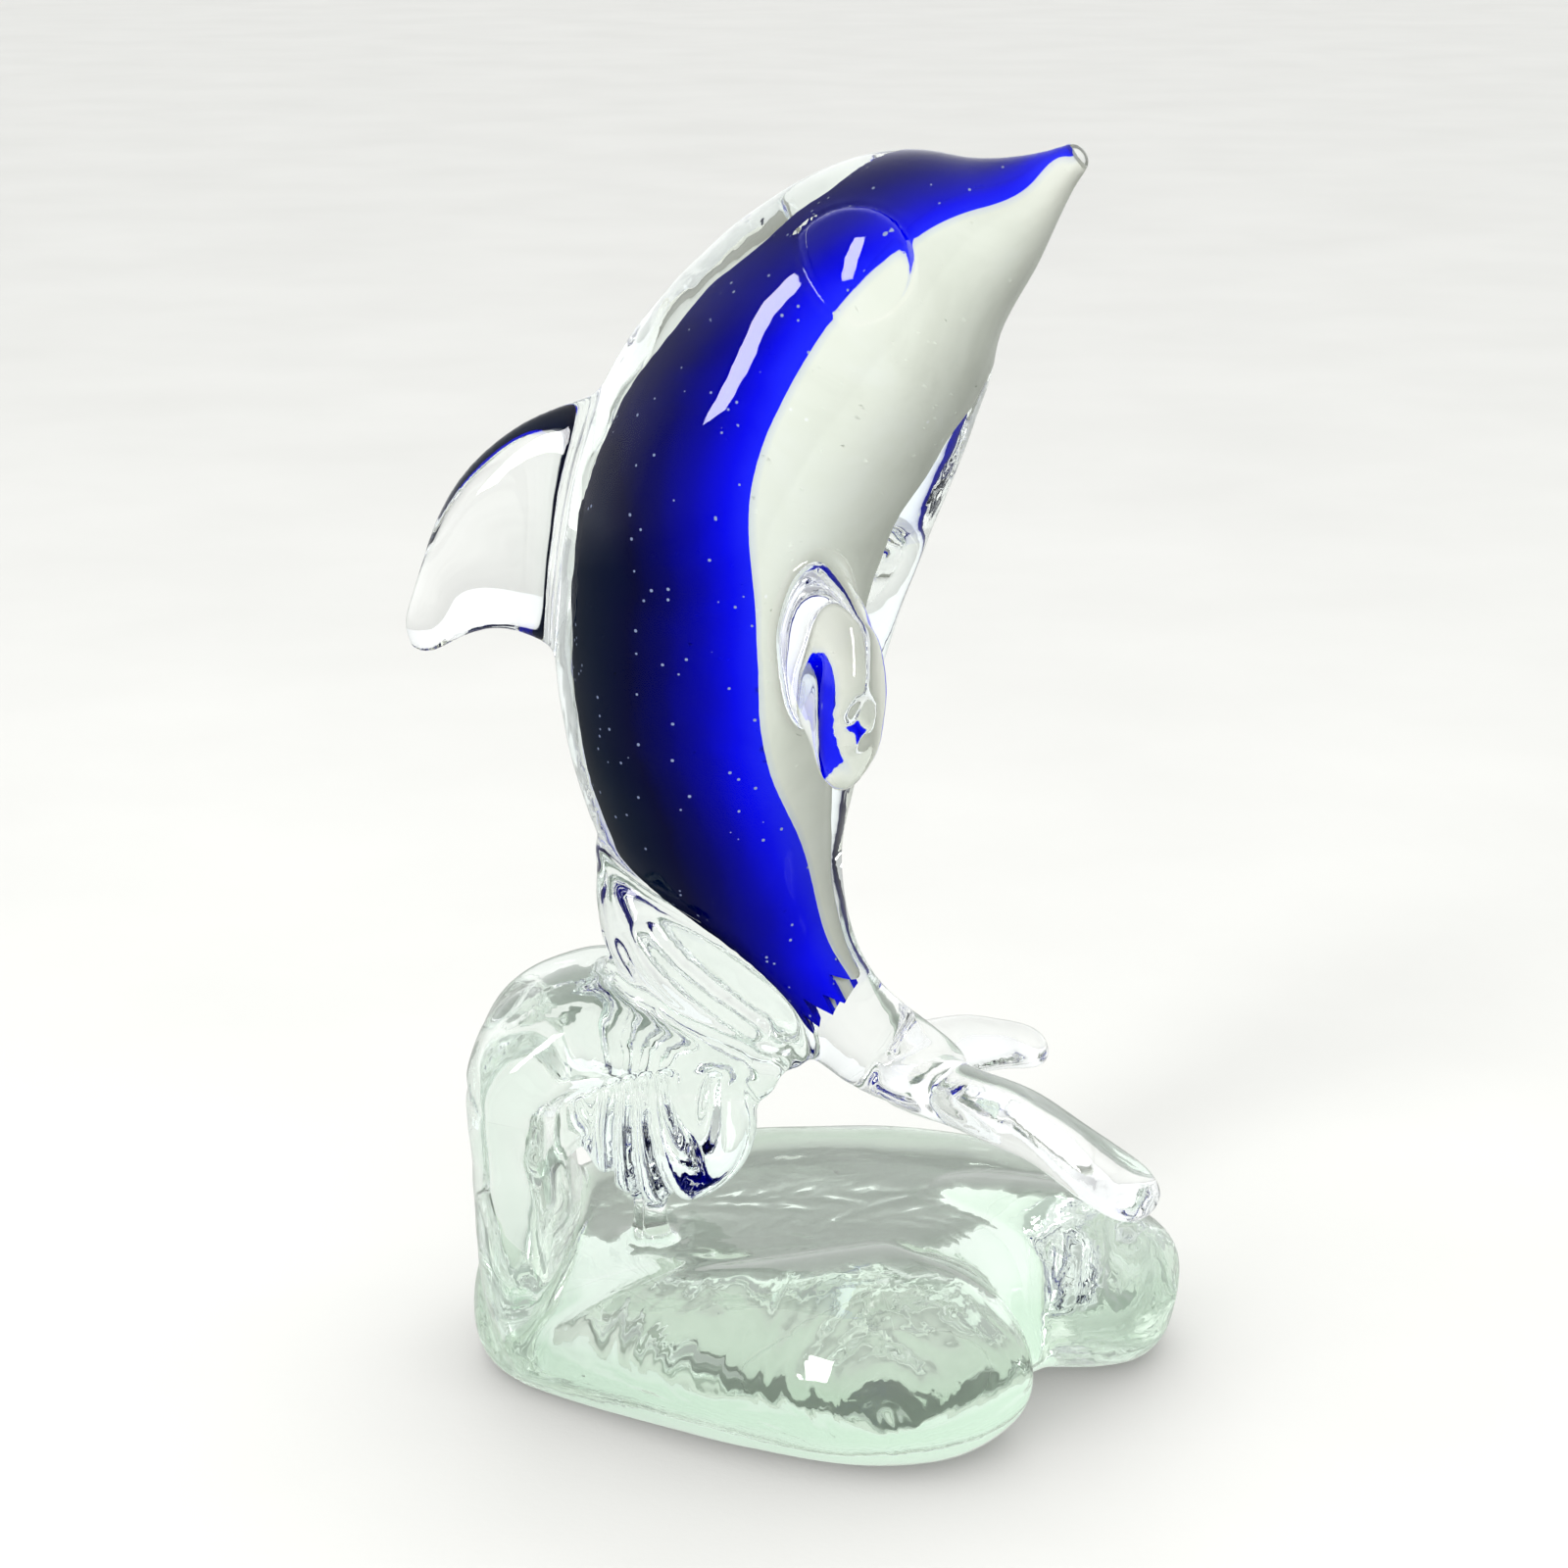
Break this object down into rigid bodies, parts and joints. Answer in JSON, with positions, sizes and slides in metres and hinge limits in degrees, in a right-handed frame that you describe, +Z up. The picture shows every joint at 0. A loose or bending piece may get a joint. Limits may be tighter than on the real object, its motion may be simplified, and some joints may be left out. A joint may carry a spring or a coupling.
{
  "type": "crystal glass figurine",
  "caption": "Solid hot-worked glass dolphin, cobalt back and opal belly cased in clear glass, riding a folded clear wave base.",
  "frame": {"origin": "centre of the resting face, on the table", "axes": "+Z up, +X towards the beak, the dolphin's left side faces -Y"},
  "size_m": [0.1244, 0.1003, 0.1947],
  "materials": {
    "clear_glass": "fire polished",
    "wave_glass": "fire polished",
    "green_glass": "fire polished, full of seeds and cords",
    "cobalt_glass": "inside the clear gather",
    "opal_glass": "inside the clear gather"
  },
  "bodies": {
    "root": {"base_slab": "green_glass", "base_front_lobe": "green_glass", "base_rear_lobe": "green_glass", "wave_stem": "wave_glass", "wave_crest": "wave_glass", "crest_curl": "wave_glass", "crest_collar": "clear_glass", "body_casing": "clear_glass", "cobalt_back_core": "cobalt_glass", "opal_belly_core": "opal_glass", "tail_stock": "clear_glass", "left_fluke": "clear_glass", "right_fluke": "clear_glass", "dorsal_fin": "clear_glass", "left_pectoral_fin": "clear_glass", "right_pectoral_fin": "clear_glass", "left_eye": "clear_glass", "right_eye": "clear_glass"}
  },
  "joints": []
}
